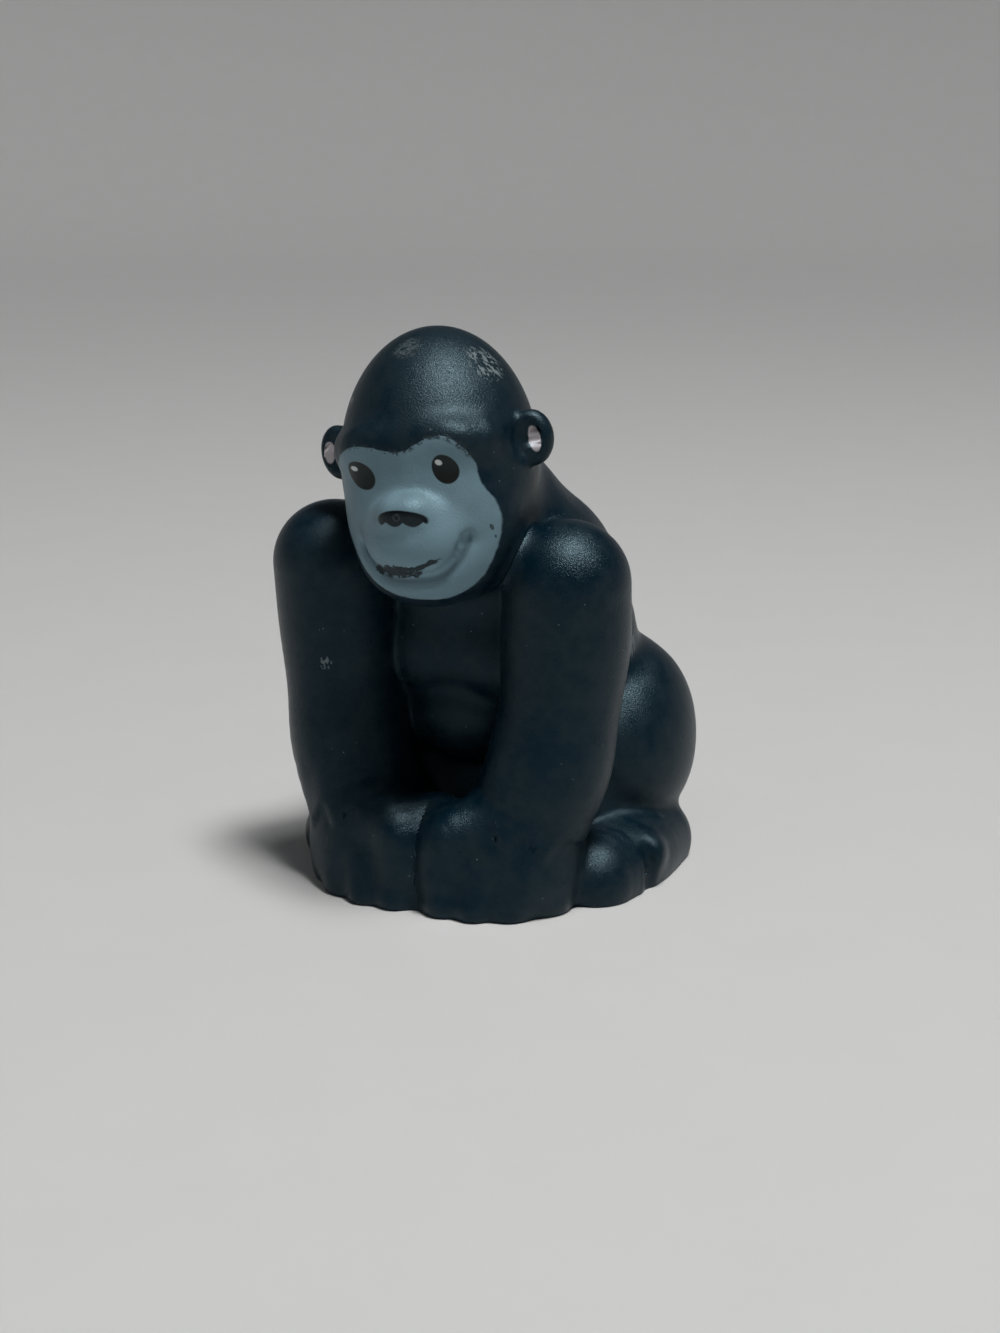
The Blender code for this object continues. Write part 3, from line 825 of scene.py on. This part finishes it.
LIP_WEAR = ((-2.3, -11.95), (4.0, 1.20), 177)
LIP_WEAR_END = ((2.4, -11.1), (2.7, 0.40), 18)
CHEEK_CHIPS = (((10.9, -7.2), (0.20, 0.48), 10), ((11.1, -8.7), (0.11, 0.24), 0))
# Painted highlight: a paler oval over the muzzle ball, where it catches the light.
MUZZLE_HIGHLIGHT = ((0, -8.6), (8.2, 5.6), 0)

# Worn spots: centre, reach, grain, stretch of the streaks, their tilt, and how rare they are
DOME_CHIPS = ((9.7, -1.4, 15.0), 4.2, 2.1, (1.0, 1.0, 2.0), -38, 0.640)
DOME_SCRATCHES = ((-0.7, -4.2, 18.0), 3.2, 4.2, (3.2, 0.8, 0.8), -20, 0.645)
TEMPLE_WEAR = ((-10.6, -5.6, 11.4), 1.9, 2.2, (0.9, 0.9, 2.6), 0, 0.66)
ARM_FLECK = ((-20.6, -5.4, -27.4), 1.5, 2.6, (1, 1, 1.6), 0, 0.62)
RUMP_WEAR = ((19.3, 22.1, -33.0), 2.4, 2.0, (0.9, 0.9, 2.6), 0, 0.64)

NOSE_PAINT = (0.0035, 0.0042, 0.0050, 1)
GLINT_PAINT = (0.62, 0.66, 0.64, 1)
BUBBLE_PAINT = (0.30, 0.36, 0.40, 1)

# Ring-shaped bubbles in the paint: three places and a size each
BUBBLES = ((0.1, -18.05, -3.7, 0.70), (18.2, -0.6, -66.6, 0.85), (-4.2, -5.2, 18.2, 0.5))


def rgba(colour):
    return (colour[0], colour[1], colour[2], 1.0)


class FacePlan:
    """Paint zones of the head, as masks that are 1 inside."""

    def __init__(self, graph, in_head):
        self.graph = graph
        self.in_head = in_head
        self.across = graph.node("ShaderNodeSeparateXYZ", None, {"Vector": in_head}, "X")
        self.back = graph.node("ShaderNodeSeparateXYZ", None, {"Vector": in_head}, "Y")
        self.level = graph.node("ShaderNodeSeparateXYZ", None, {"Vector": in_head}, "Z")
        self.in_front = graph.step(self.back, -2.0, -3.0)
        self.on_head = graph.step(self.level, -21.0, -20.0)

    def oval(self, centre, radii, degrees, waver=None, soft=0.05):
        """A tilted oval; its first radius runs at the given angle from x towards z."""
        tilt = math.radians(degrees)
        away = self.across - centre[0]
        above = self.level - centre[1]
        along = (away * math.cos(tilt) + above * math.sin(tilt)) / radii[0]
        beside = (above * math.cos(tilt) - away * math.sin(tilt)) / radii[1]
        out = (along * along + beside * beside) ** 0.5
        if waver is not None:
            out = out + waver
        return self.graph.step(out, 1 + soft, 1 - soft)

    def ovals(self, several, waver=None, soft=0.05):
        marks = [self.oval(*one, waver, soft) for one in several]
        return self.graph.maths("MAXIMUM", *marks)

    def rim_of_mask(self, waver):
        """Millimetres from the face paint's rim, positive inside."""
        above = self.level - MASK_MIDDLE
        turn = self.graph.maths("ARCTAN2", self.across, above) * (1 / math.tau) + 0.5
        outline = [((degrees + 180) / 360, size / MASK_REACH) for degrees, size in MASK_OUTLINE]
        reach = self.graph.node(
            "ShaderNodeFloatCurve", {"curve": outline}, {"Factor": 1.0, "Value": turn}
        )
        out = (self.across * self.across + above * above) ** 0.5
        return reach * MASK_REACH - out + waver * 0.35

    def mouth_groove_shade(self):
        """Painted shade: a darker line that lies in the groove of the mouth, where shade falls."""
        out = self.graph.maths("ABSOLUTE", self.across) / (MOUTH_WIDTH / 2 * MM)
        rise = (MOUTH_MIDDLE_DROP - MOUTH_CORNER_DROP) * MM
        line = out**3.2 * rise - MOUTH_MIDDLE_DROP * MM
        slope = out**2.2 * (3.2 * rise / (MOUTH_WIDTH / 2 * MM))
        away = self.graph.maths("ABSOLUTE", self.level - line) / (slope * slope + 1) ** 0.5
        return self.graph.step(away, 0.75, 0.10) * self.graph.step(out, 1.06, 0.98) * self.in_front

    def nose_print(self, waver):
        """The black of the nose, arched above and in three lobes below."""
        arch = self.oval((0.50, -4.30), (3.65, 1.55), 173, None, 0.06)
        lobes = self.graph.maths("SINE", (self.across + 1.75) * (math.pi / 2.62))
        lobes = self.graph.maths("ABSOLUTE", lobes)
        floor = -4.45 - self.across * 0.10 - lobes * 0.62
        return arch * self.graph.step(self.level - floor + waver * 0.1, -0.12, 0.12) * self.in_front


def scuffs(graph, in_head, centre, reach, scale, stretch, degrees, amount):
    """Chips and scratches of one worn place: streaks of noise within a soft round patch."""
    away = graph.node(
        "ShaderNodeVectorMath", {"operation": "DISTANCE"}, {0: in_head, 1: centre}, "Value"
    )
    patch = graph.step(away, reach, reach * 0.45)
    turn = (0, math.radians(degrees), 0)
    laid = graph.node(
        "ShaderNodeMapping",
        {"vector_type": "TEXTURE"},
        {"Vector": in_head, "Location": centre, "Rotation": turn, "Scale": stretch},
    )
    streak = graph.noise(laid, scale, 2.0, 0.55)
    return graph.step(streak + patch * 0.16, amount, amount + 0.035) * patch


def painted_foam(look, shift):
    """Satin blue-black paint with a grey-blue face, glossy eyes and nose, and worn places, with
    painted sheen on the crown, a painted highlight on the muzzle and painted shade in the mouth's
    groove.
    """
    material = bpy.data.materials.new("painted_foam")
    material.use_nodes = True
    material.node_tree.nodes.clear()
    graph = Graph(material.node_tree)
    place = graph.node("ShaderNodeTexCoord", None, None, "Object")
    middle = Vector((0, -HEAD_FORWARD, HEAD_LEVEL)) + shift
    turned = graph.node(
        "ShaderNodeMapping",
        {"vector_type": "TEXTURE"},
        {"Vector": place, "Location": middle, "Rotation": (0, HEAD_ROLL, HEAD_TURN)},
    )
    in_head = graph.node(
        "ShaderNodeVectorMath", {"operation": "SCALE"}, {"Vector": turned, "Scale": MM}
    )
    plan = FacePlan(graph, in_head)

    grain = graph.noise(in_head, 3.6, 2.0, 0.6)
    fine = graph.noise(in_head, 9.0, 1.0, 0.5)
    mottle = graph.noise(in_head, 0.42, 3.0, 0.6)
    cloud = graph.noise(in_head, 0.10, 2.0)
    waver = graph.noise(in_head, 0.9, 3.0, 0.6) - 0.5

    inside = plan.rim_of_mask(waver)
    mask = graph.step(inside, -0.14, 0.14) * plan.in_front * plan.on_head
    eyes = plan.ovals(EYES) * plan.in_front
    glints = plan.ovals(GLINTS, soft=0.25) * plan.in_front
    nose = plan.nose_print(waver)
    bowls = plan.ovals(EAR_INNERS, waver * 0.25, 0.10) * graph.step(plan.back, -0.2, -0.6)
    bowls = bowls * graph.step(graph.maths("ABSOLUTE", plan.across), 14.6, 15.0)

    # Worn places: the lip, the top of the mask's rim, and the scuffed dome.
    lip = plan.oval(*LIP_WEAR, waver * 1.5, 0.08)
    lip_end = plan.oval(*LIP_WEAR_END, waver * 1.5, 0.12)
    lip = graph.maths("MAXIMUM", lip, lip_end) * plan.in_front
    lip = lip * graph.step(graph.noise(in_head, 2.2, 3.0, 0.7), 0.33, 0.39)
    rubbed = graph.step(graph.maths("ABSOLUTE", inside), 0.75, 0.25)
    rubbed = rubbed * graph.step(plan.level, 2.6, 3.6) * plan.in_front
    patchy = graph.noise(in_head, 1.3, 3.0, 0.7) + plan.across * 0.008
    rubbed = rubbed * graph.step(patchy, 0.50, 0.58)
    cheek_chips = plan.ovals(CHEEK_CHIPS, waver * 1.2, 0.2) * plan.in_front
    chips = scuffs(graph, in_head, *DOME_CHIPS)
    scratches = scuffs(graph, in_head, *DOME_SCRATCHES)
    temple = scuffs(graph, in_head, *TEMPLE_WEAR)
    arm_fleck = scuffs(graph, in_head, *ARM_FLECK)
    rump = scuffs(graph, in_head, *RUMP_WEAR)
    bare = graph.maths("MAXIMUM", chips, scratches * 0.4)
    bare = graph.maths("MAXIMUM", bare, rump)
    bare = graph.maths("MAXIMUM", bare, temple)
    bare = graph.maths("MAXIMUM", bare, arm_fleck)
    specks = graph.node(
        "ShaderNodeTexVoronoi",
        {"feature": "F1"},
        {"Vector": in_head, "Scale": 0.50, "Randomness": 1.0},
        "Distance",
    )
    specks = graph.step(specks, 0.066, 0.036)
    specks = specks * graph.step(graph.noise(in_head, 0.21, 1.0), 0.47, 0.53)
    rings = None
    for x, y, z, size in BUBBLES:
        away = graph.node(
            "ShaderNodeVectorMath", {"operation": "DISTANCE"}, {0: in_head, 1: (x, y, z)}, "Value"
        )
        ring = graph.step(graph.maths("ABSOLUTE", away - size * 0.62), size * 0.30, 0.0)
        rings = ring if rings is None else graph.maths("MAXIMUM", rings, ring)

    # Painted sheen: the body paint turns paler towards the crown, where the overhead light falls on
    # the dome; the random mottle adds real worn tone.
    crown_sheen = graph.step(plan.level, 2.0, 14.0)
    worn_and_crown_sheen = graph.step(mottle + cloud * 0.6 + crown_sheen * 0.22, 0.62, 1.05)
    body = graph.mix(worn_and_crown_sheen, rgba(look.body_colour), rgba(look.body_worn_and_sheen))
    face = graph.mix(cloud * 0.7 + mottle * 0.5, rgba(look.face_colour), rgba(look.face_light))
    # Painted highlight: paler face paint over the lit muzzle ball.
    muzzle_highlight = plan.oval(*MUZZLE_HIGHLIGHT, None, 0.35) * plan.in_front
    face = graph.mix(muzzle_highlight * 0.6, face, rgba(look.face_light))
    colour = graph.mix(bowls, body, rgba(look.ear_colour))
    # Painted shade: darker grey-blue laid along the mouth's groove.
    face = graph.mix(plan.mouth_groove_shade() * 0.5, face, rgba(look.groove_shade_colour))
    colour = graph.mix(mask, colour, face)
    under = graph.maths("MAXIMUM", lip, rubbed * 0.85)
    under = graph.maths("MAXIMUM", under, cheek_chips * 0.8)
    colour = graph.mix(under, colour, rgba(look.under_colour))
    colour = graph.mix(eyes, colour, rgba(look.eye_colour))
    colour = graph.mix(nose, colour, NOSE_PAINT)
    colour = graph.mix(glints, colour, GLINT_PAINT)
    colour = graph.mix(bare * 0.55, colour, rgba(look.scuff_colour))
    colour = graph.mix(specks * (1 - eyes) * 0.55, colour, rgba(look.scuff_colour))
    colour = graph.mix(rings * 0.10, colour, BUBBLE_PAINT)

    wet = graph.maths("MAXIMUM", eyes * 0.5, nose)
    roughness = look.roughness + (grain - 0.5) * 0.20 + worn_and_crown_sheen * 0.06 + mask * 0.06
    roughness = roughness * (1 - wet) + wet * 0.22
    worn = graph.maths("MAXIMUM", graph.maths("MAXIMUM", bare, under), specks)
    roughness = roughness + worn * 0.12
    rim = graph.step(graph.maths("ABSOLUTE", inside), 0.45, 0.0) * plan.in_front
    height = (grain * 0.7 + fine * 0.5) * (1 - wet) * look.grain_strength
    height = height + mask * 0.9 - lip * 0.9 - bare * 0.7 - rubbed * 0.5 + rings * 1.4
    height = height + (eyes + nose) * 0.5 + rim * 0.15
    bump = graph.node(
        "ShaderNodeBump", None, {"Height": height, "Distance": 0.00005, "Strength": 1.0}
    )
    surface = graph.node(
        "ShaderNodeBsdfPrincipled",
        None,
        {
            "Base Color": colour,
            "Roughness": roughness,
            "Coat Weight": wet * 0.15,
            "Coat Roughness": 0.10,
            "Normal": bump,
            "IOR": 1.5,
            "Specular IOR Level": 0.25,
            "Specular Tint": (0.6, 0.88, 1.0, 1),
        },
    )
    graph.node("ShaderNodeOutputMaterial", None, {"Surface": surface})
    return material


class FIGURINE_PG_skin(PropertyGroup):
    """Sizes and colours of the figure itself."""

    grain: FloatProperty(
        name="Skin grain",
        description="Size of the faces of the fine skin",
        default=0.00050,
        min=0.0004,
        max=0.002,
        subtype="DISTANCE",
        unit="LENGTH",
    )
    body_colour: FloatVectorProperty(
        name="Body paint",
        description="Blue-black paint of the fur",
        default=(0.0004, 0.0090, 0.0175),
        min=0,
        max=1,
        subtype="COLOR",
    )
    # Paler body paint: random worn tone, and painted sheen towards the crown of the head.
    body_worn_and_sheen: FloatVectorProperty(
        name="Body paint, worn",
        description="Greyer paint where it is rubbed",
        default=(0.0080, 0.0180, 0.0250),
        min=0,
        max=1,
        subtype="COLOR",
    )
    face_colour: FloatVectorProperty(
        name="Face paint",
        description="Grey-blue paint of the face",
        default=(0.118, 0.178, 0.202),
        min=0,
        max=1,
        subtype="COLOR",
    )
    # Paler face paint: random tone, and the painted highlight on the muzzle.
    face_light: FloatVectorProperty(
        name="Face paint, light",
        description="Paler grey-blue of the face",
        default=(0.175, 0.280, 0.335),
        min=0,
        max=1,
        subtype="COLOR",
    )
    # Painted shade: the darker grey-blue laid in the mouth's groove, where shade falls.
    groove_shade_colour: FloatVectorProperty(
        name="Mouth groove",
        description="Darker grey-blue where the paint is thin in the groove of the mouth",
        default=(0.035, 0.060, 0.072),
        min=0,
        max=1,
        subtype="COLOR",
    )
    eye_colour: FloatVectorProperty(
        name="Eyes",
        description="Brown-black paint of the eyes",
        default=(0.010, 0.009, 0.007),
        min=0,
        max=1,
        subtype="COLOR",
    )
    ear_colour: FloatVectorProperty(
        name="Ear bowls",
        description="Pinkish white inside the ears",
        default=(0.50, 0.46, 0.48),
        min=0,
        max=1,
        subtype="COLOR",
    )
    under_colour: FloatVectorProperty(
        name="Undercoat",
        description="Dark foam where the face paint is worn away",
        default=(0.020, 0.026, 0.030),
        min=0,
        max=1,
        subtype="COLOR",
    )
    scuff_colour: FloatVectorProperty(
        name="Scuffs",
        description="Pale marks where the dark paint is chipped",
        default=(0.26, 0.31, 0.32),
        min=0,
        max=1,
        subtype="COLOR",
    )
    roughness: FloatProperty(
        name="Paint roughness",
        description="Roughness of the satin paint",
        default=0.30,
        min=0,
        max=1,
        subtype="FACTOR",
    )
    grain_strength: FloatProperty(
        name="Grain",
        description="Strength of the paint's fine grain",
        default=1.9,
        min=0,
        max=4,
        subtype="FACTOR",
    )


class FIGURINE_PG_stage(PropertyGroup):
    """The plain floor and the soft light."""

    floor_colour: FloatVectorProperty(
        name="Floor",
        description="Colour of the plain pale floor",
        default=(0.62, 0.62, 0.61),
        min=0,
        max=1,
        subtype="COLOR",
    )
    floor_reach: FloatProperty(
        name="Floor reach",
        description="How far the flat floor runs before it curves up",
        default=1.2,
        min=0.5,
        subtype="DISTANCE",
        unit="LENGTH",
    )
    sweep_radius: FloatProperty(
        name="Sweep radius",
        description="Radius of the curve from floor to backdrop",
        default=0.6,
        min=0.1,
        subtype="DISTANCE",
        unit="LENGTH",
    )
    key_power: FloatProperty(
        name="Key light",
        description="Power of the soft light overhead",
        default=3.1,
        min=0,
        unit="POWER",
    )
    fill_power: FloatProperty(
        name="Wide light",
        description="Power of the wide light in front",
        default=0.5,
        min=0,
        unit="POWER",
    )
    sheen_power: FloatProperty(
        name="Sheen light",
        description="Power of the light that only the paint's sheen shows",
        default=5.5,
        min=0,
        unit="POWER",
    )
    even_light: FloatProperty(
        name="Even light",
        description="Strength of the even light over the whole floor",
        default=1.15,
        min=0,
    )
    air_light: FloatProperty(
        name="Air",
        description="Strength of the light from all around",
        default=0.06,
        min=0,
    )


class FIGURINE_OT_figure(Operator):
    """Builds the painted foam gorilla, in one piece"""

    bl_idname = "figurine.figure"
    bl_label = "Gorilla"
    bl_options = {"REGISTER", "UNDO"}

    def execute(self, context):
        look = context.scene.figurine_skin
        skin = fused_skin(look.grain)
        shift = skin_shift(skin)
        skin.transform(Matrix.Translation(shift))
        skin.shade_smooth()
        skin.materials.append(painted_foam(look, shift))
        figure = bpy.data.objects.new("painted_gorilla", skin)
        context.scene.collection.objects.link(figure)
        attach(figure, "root")
        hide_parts(NODE)
        return {"FINISHED"}


class FIGURINE_OT_stage(Operator):
    """Lays the floor, hangs the lights and sets the camera"""

    bl_idname = "figurine.stage"
    bl_label = "Stage"
    bl_options = {"REGISTER", "UNDO"}

    def execute(self, context):
        stage = context.scene.figurine_stage
        scene = context.scene
        sweep = bpy.data.meshes.new("floor")
        sweep.from_pydata(*sweep_of_paper(stage.floor_reach, stage.sweep_radius))
        sweep.shade_smooth()
        floor = bpy.data.objects.new("floor", sweep)
        scene.collection.objects.link(floor)
        sweep.materials.append(pale_card(stage.floor_colour))
        for name, spot, size, power in (
            ("key", (0.20, -0.12, 0.75), 0.17, stage.key_power),
            ("wide", (-0.20, -0.75, 0.95), 0.90, stage.fill_power),
            ("sheen", (0.20, -0.12, 0.75), 0.14, stage.sheen_power),
        ):
            lamp = bpy.data.lights.new(name, "AREA")
            lamp.energy = power
            lamp.size = size
            holder = bpy.data.objects.new(name, lamp)
            holder.location = spot
            aim = Vector((0, 0, 0.045)) - Vector(spot)
            holder.rotation_euler = aim.to_track_quat("-Z", "Y").to_euler()
            holder.visible_diffuse = name != "sheen"
            scene.collection.objects.link(holder)
        sun = bpy.data.lights.new("even", "SUN")
        sun.energy = stage.even_light
        sun.angle = math.radians(18)
        holder = bpy.data.objects.new("even", sun)
        holder.rotation_euler = Vector((-0.22, 0.08, -0.97)).to_track_quat("-Z", "Y").to_euler()
        scene.collection.objects.link(holder)
        world = bpy.data.worlds.new("studio")
        scene.world = world
        world.use_nodes = True
        world.node_tree.nodes.clear()
        graph = Graph(world.node_tree)
        air = graph.node(
            "ShaderNodeBackground",
            None,
            {"Color": (0.90, 0.95, 1.0, 1), "Strength": stage.air_light},
        )
        graph.node("ShaderNodeOutputWorld", None, {"Surface": air})
        scene.view_settings.view_transform = "Standard"
        set_camera(scene)
        return {"FINISHED"}


def sweep_of_paper(reach, radius, sides=96, steps=16):
    """Points, edges and faces of a round floor that curves up into a low backdrop all round."""
    profile = [(reach, 0.0)]
    for step in range(1, steps + 1):
        turn = math.radians(70) * step / steps
        profile.append((reach + radius * math.sin(turn), radius * (1 - math.cos(turn))))
    points = [(0.0, 0.0, 0.0)]
    for away, level in profile:
        for side in range(sides):
            turn = math.tau * side / sides
            points.append((away * math.cos(turn), away * math.sin(turn), level))
    faces = [(0, 1 + side, 1 + (side + 1) % sides) for side in range(sides)]
    for row in range(len(profile) - 1):
        for side in range(sides):
            here = 1 + row * sides
            after = (side + 1) % sides
            faces.append((here + side, here + sides + side, here + sides + after, here + after))
    return points, [], faces


def pale_card(colour):
    """Plain pale card with the faintest mottle."""
    material = bpy.data.materials.new("pale_card")
    material.use_nodes = True
    material.node_tree.nodes.clear()
    graph = Graph(material.node_tree)
    place = graph.node("ShaderNodeTexCoord", None, None, "Object")
    mottle = graph.noise(place, 60.0, 3.0, 0.6)
    darker = tuple(part * 0.96 for part in colour)
    surface = graph.node(
        "ShaderNodeBsdfPrincipled",
        None,
        {"Base Color": graph.mix(mottle, rgba(darker), rgba(colour)), "Roughness": 0.7},
    )
    graph.node("ShaderNodeOutputMaterial", None, {"Surface": surface})
    return material


def set_camera(scene):
    """The photograph's view: 23 degrees round, 16 degrees down, from 330 mm away."""
    width, height = 1000, 1333
    turn, dip, away, focal = math.radians(23), math.radians(16), 0.330, 2002
    feet = Vector((0, 0.0035, 0))
    feet_across, feet_down = 494, 845
    back = Vector((
        math.sin(turn) * math.cos(dip),
        -math.cos(turn) * math.cos(dip),
        math.sin(dip),
    ))
    right = Vector((math.cos(turn), math.sin(turn), 0))
    up = back.cross(right)
    spot = feet + back * away
    spot -= right * ((feet_across - width / 2) / focal * away)
    spot += up * ((feet_down - height / 2) / focal * away)
    lens = bpy.data.cameras.new("view")
    lens.sensor_width = 36
    lens.lens = focal / height * 36
    lens.clip_start = 0.01
    camera = bpy.data.objects.new("view", lens)
    camera.matrix_world = Matrix.Translation(spot) @ Matrix((right, up, back)).transposed().to_4x4()
    scene.collection.objects.link(camera)
    scene.camera = camera


class FIGURINE_PT_panel(Panel):
    """The figurine's pieces, sizes and colours"""

    bl_idname = "FIGURINE_PT_panel"
    bl_label = "Gorilla Figurine"
    bl_space_type = "VIEW_3D"
    bl_region_type = "UI"
    bl_category = "Figurine"

    def draw(self, context):
        for group in (context.scene.figurine_skin, context.scene.figurine_stage):
            box = self.layout.box()
            for name in group.__annotations__:
                box.prop(group, name)
        for operator in (FIGURINE_OT_figure, FIGURINE_OT_stage):
            self.layout.operator(operator.bl_idname)


CLASSES = (
    FIGURINE_PG_skin,
    FIGURINE_PG_stage,
    FIGURINE_OT_figure,
    FIGURINE_OT_stage,
    FIGURINE_PT_panel,
)


def register():
    for cls in CLASSES:
        bpy.utils.register_class(cls)
    bpy.types.Scene.figurine_skin = PointerProperty(type=FIGURINE_PG_skin)
    bpy.types.Scene.figurine_stage = PointerProperty(type=FIGURINE_PG_stage)


def unregister():
    del bpy.types.Scene.figurine_stage
    del bpy.types.Scene.figurine_skin
    for cls in reversed(CLASSES):
        bpy.utils.unregister_class(cls)


def main():
    register()
    bpy.ops.figurine.figure()
    bpy.ops.figurine.stage()


if __name__ == "__main__":
    main()
